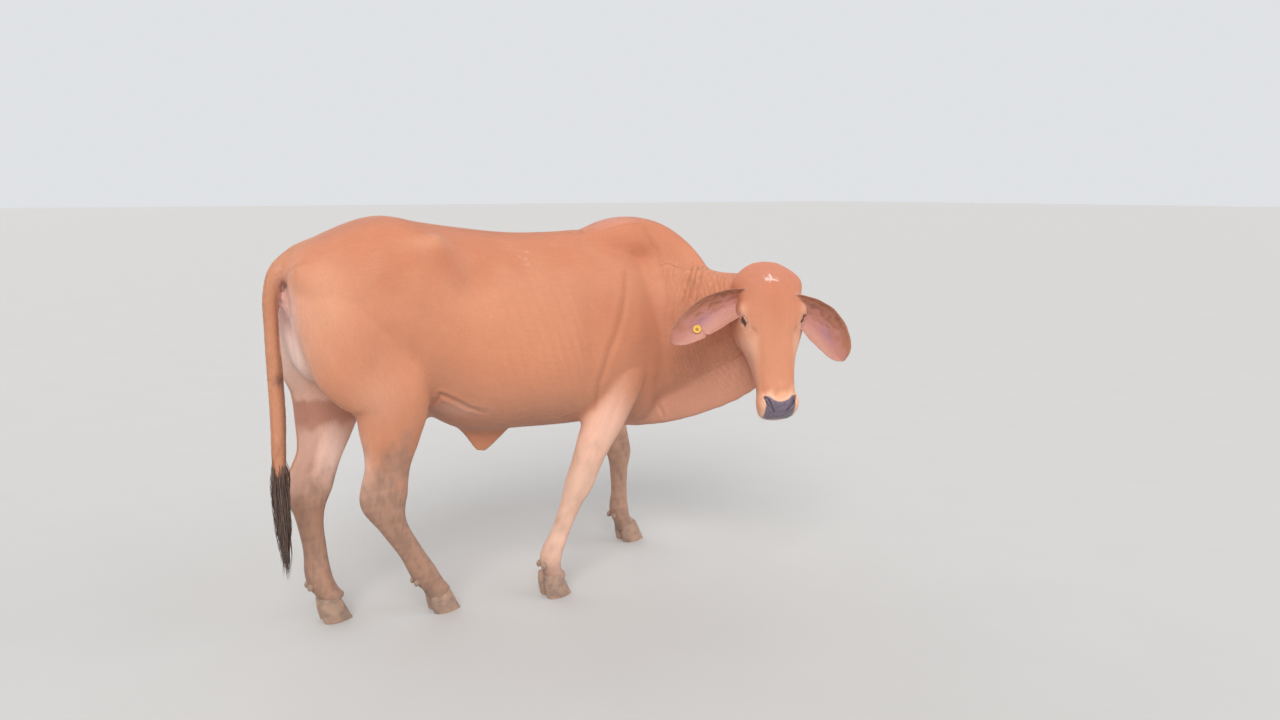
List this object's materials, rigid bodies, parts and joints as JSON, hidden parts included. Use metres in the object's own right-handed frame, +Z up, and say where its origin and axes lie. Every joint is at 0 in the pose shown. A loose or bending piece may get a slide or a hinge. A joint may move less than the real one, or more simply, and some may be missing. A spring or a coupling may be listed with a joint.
{
  "type": "brahman heifer model",
  "caption": "Still, life-size model of a light red brahman heifer in mid-step, head lowered and turned to its right, with drooping ears, a low hump and a dewlap.",
  "frame": {"origin": "on the floor below the middle of the model's bounding box", "axes": "+X the way the body faces, +Y the animal's left side, +Z up"},
  "size_m": [1.849, 0.9212, 1.3395],
  "materials": {
    "coat": "short matt coat",
    "lower_legs": "short coat, dusty",
    "ear_skin": "short coat, bare inside",
    "udder": "bare skin",
    "nose_pad": "moist bare skin",
    "horn": "dull horn",
    "eye": "wet gloss",
    "switch_hair": "coarse hair",
    "tag": "plain"
  },
  "bodies": {
    "root": {"barrel": "coat", "claw_fore_left_left": "horn", "claw_fore_left_right": "horn", "claw_fore_right_left": "horn", "claw_fore_right_right": "horn", "claw_hind_left_left": "horn", "claw_hind_left_right": "horn", "claw_hind_right_left": "horn", "claw_hind_right_right": "horn", "dewclaw_fore_left_left": "horn", "dewclaw_fore_left_right": "horn", "dewclaw_fore_right_left": "horn", "dewclaw_fore_right_right": "horn", "dewclaw_hind_left_left": "horn", "dewclaw_hind_left_right": "horn", "dewclaw_hind_right_left": "horn", "dewclaw_hind_right_right": "horn", "dewlap": "coat", "ear_left": "ear_skin", "ear_right": "ear_skin", "ear_tag_back": "tag", "ear_tag_front": "tag", "eye_left": "eye", "eye_right": "eye", "forequarters": "coat", "head": "coat", "hindquarters": "coat", "hump": "coat", "leg_fore_left": "lower_legs", "leg_fore_right": "lower_legs", "leg_hind_left": "lower_legs", "leg_hind_right": "lower_legs", "navel_flap": "coat", "neck": "coat", "nose_pad": "nose_pad", "tail": "coat", "tail_switch": "switch_hair", "udder": "udder"}
  },
  "joints": []
}
